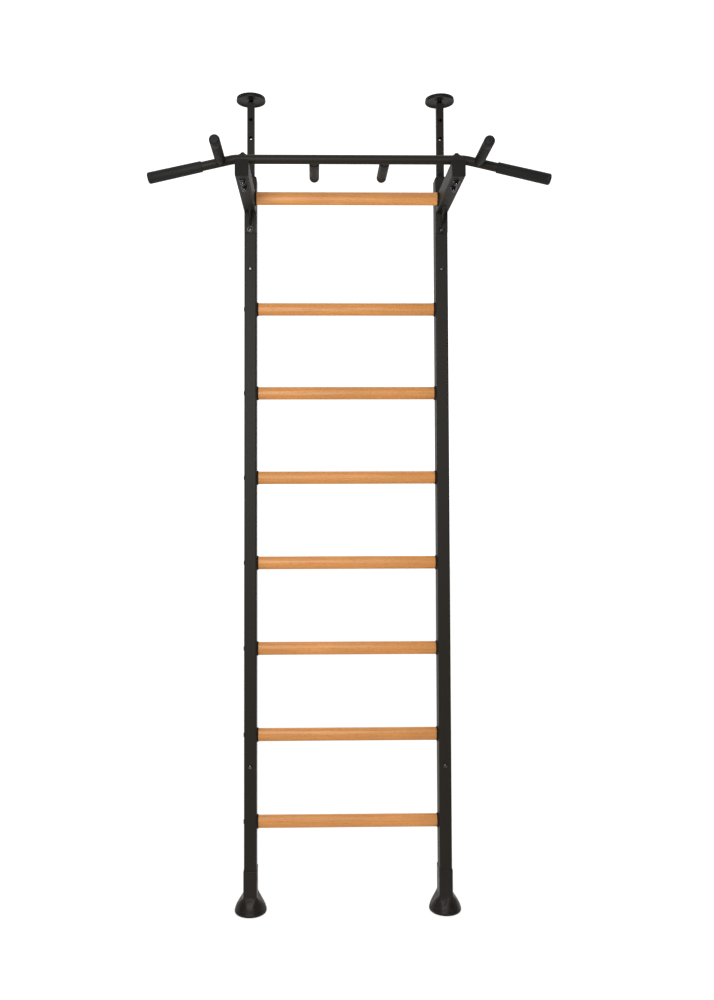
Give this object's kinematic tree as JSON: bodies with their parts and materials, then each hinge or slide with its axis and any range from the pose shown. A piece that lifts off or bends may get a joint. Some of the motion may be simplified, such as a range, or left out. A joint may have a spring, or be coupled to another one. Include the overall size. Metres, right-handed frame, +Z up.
{
  "type": "floor-to-ceiling wall bars with pull-up bar",
  "caption": "Two square-tube uprights with oval wooden rungs, forward arms with a bent pull-up bar and handles, and telescopic screw posts that clamp to the ceiling.",
  "frame": {"origin": "on the floor, midway between the uprights and midway between the foremost handle and the back of the feet", "axes": "+Z up along the uprights, +X along the rungs to the viewer's right, -Y towards the user, where the pull-up bar is"},
  "size_m": [1.1946, 0.576, 2.675],
  "materials": {
    "black_powder_coat": "matt black fine-texture powder coat on steel tube and plate",
    "rung_wood": "oiled oval beech rungs with fine straight grain",
    "grip_foam": "matt black moulded rubber grips",
    "foot_rubber": "satin black moulded rubber",
    "pad_rubber": "matt black rubber",
    "moulded_black": "black moulded nylon",
    "black_fasteners": "black oxide steel screws, nuts and washers",
    "plated_steel": "zinc plated steel"
  },
  "bodies": {
    "ladder": {"arm_washers": "black_fasteners", "bar_bolts": "black_fasteners", "bar_straps": "black_powder_coat", "dome_nuts": "black_fasteners", "flange_bolts": "black_fasteners", "flange_washers": "black_fasteners", "frame_nuts": "plated_steel", "left_arm": "black_powder_coat", "left_arm_cap": "moulded_black", "left_arm_flange": "black_powder_coat", "left_arm_gusset": "black_powder_coat", "left_foot": "foot_rubber", "left_front_grip": "grip_foam", "left_front_stub": "black_powder_coat", "left_outer_grip": "grip_foam", "left_rear_grip": "grip_foam", "left_rear_stub": "black_powder_coat", "left_rung_collars": "moulded_black", "left_upright": "black_powder_coat", "left_upright_cap": "moulded_black", "pull_up_bar": "black_powder_coat", "right_arm": "black_powder_coat", "right_arm_cap": "moulded_black", "right_arm_flange": "black_powder_coat", "right_arm_gusset": "black_powder_coat", "right_foot": "foot_rubber", "right_front_grip": "grip_foam", "right_front_stub": "black_powder_coat", "right_outer_grip": "grip_foam", "right_rear_grip": "grip_foam", "right_rear_stub": "black_powder_coat", "right_rung_collars": "moulded_black", "right_upright": "black_powder_coat", "right_upright_cap": "moulded_black", "rung_2": "rung_wood", "rung_3": "rung_wood", "rung_4": "rung_wood", "rung_5": "rung_wood", "rung_6": "rung_wood", "rung_7": "rung_wood", "rung_8": "rung_wood", "rung_bolts": "black_fasteners", "rung_inserts": "plated_steel", "strap_bolts": "black_fasteners", "top_rung": "rung_wood", "wall_hole_screws": "black_fasteners"},
    "left_post": {"left_ceiling_post": "black_powder_coat", "left_pin_clip": "black_fasteners", "left_post_nut": "plated_steel", "left_post_pin": "black_fasteners"},
    "right_post": {"right_ceiling_post": "black_powder_coat", "right_pin_clip": "black_fasteners", "right_post_nut": "plated_steel", "right_post_pin": "black_fasteners"},
    "left_head": {"left_ceiling_pad": "pad_rubber", "left_ceiling_plate": "black_powder_coat"},
    "right_head": {"right_ceiling_pad": "pad_rubber", "right_ceiling_plate": "black_powder_coat"},
    "left_screw": {"left_spindle": "black_fasteners"},
    "right_screw": {"right_spindle": "black_fasteners"}
  },
  "joints": [
    {"name": "left_post_slide", "type": "slide", "parent": "ladder", "child": "left_post", "axis": [0, 0, 1], "range_m": [0, 0.186]},
    {"name": "left_head_lift", "type": "slide", "parent": "left_post", "child": "left_head", "axis": [0, 0, 1], "range_m": [0, 0.036]},
    {"name": "left_screw_turn", "type": "hinge", "parent": "left_head", "child": "left_screw", "pos_m": [-0.316, 0.236, 2.6565], "axis": [0, 0, 1], "range_deg": [0, 4321]},
    {"name": "right_post_slide", "type": "slide", "parent": "ladder", "child": "right_post", "axis": [0, 0, 1], "range_m": [0, 0.186]},
    {"name": "right_head_lift", "type": "slide", "parent": "right_post", "child": "right_head", "axis": [0, 0, 1], "range_m": [0, 0.036]},
    {"name": "right_screw_turn", "type": "hinge", "parent": "right_head", "child": "right_screw", "pos_m": [0.316, 0.236, 2.6565], "axis": [0, 0, 1], "range_deg": [0, 4321]}
  ],
  "couplings": [
    {"joint": "left_screw_turn", "follows": "left_head_lift", "rad_per_m": 2094.4},
    {"joint": "right_screw_turn", "follows": "right_head_lift", "rad_per_m": 2094.4}
  ]
}
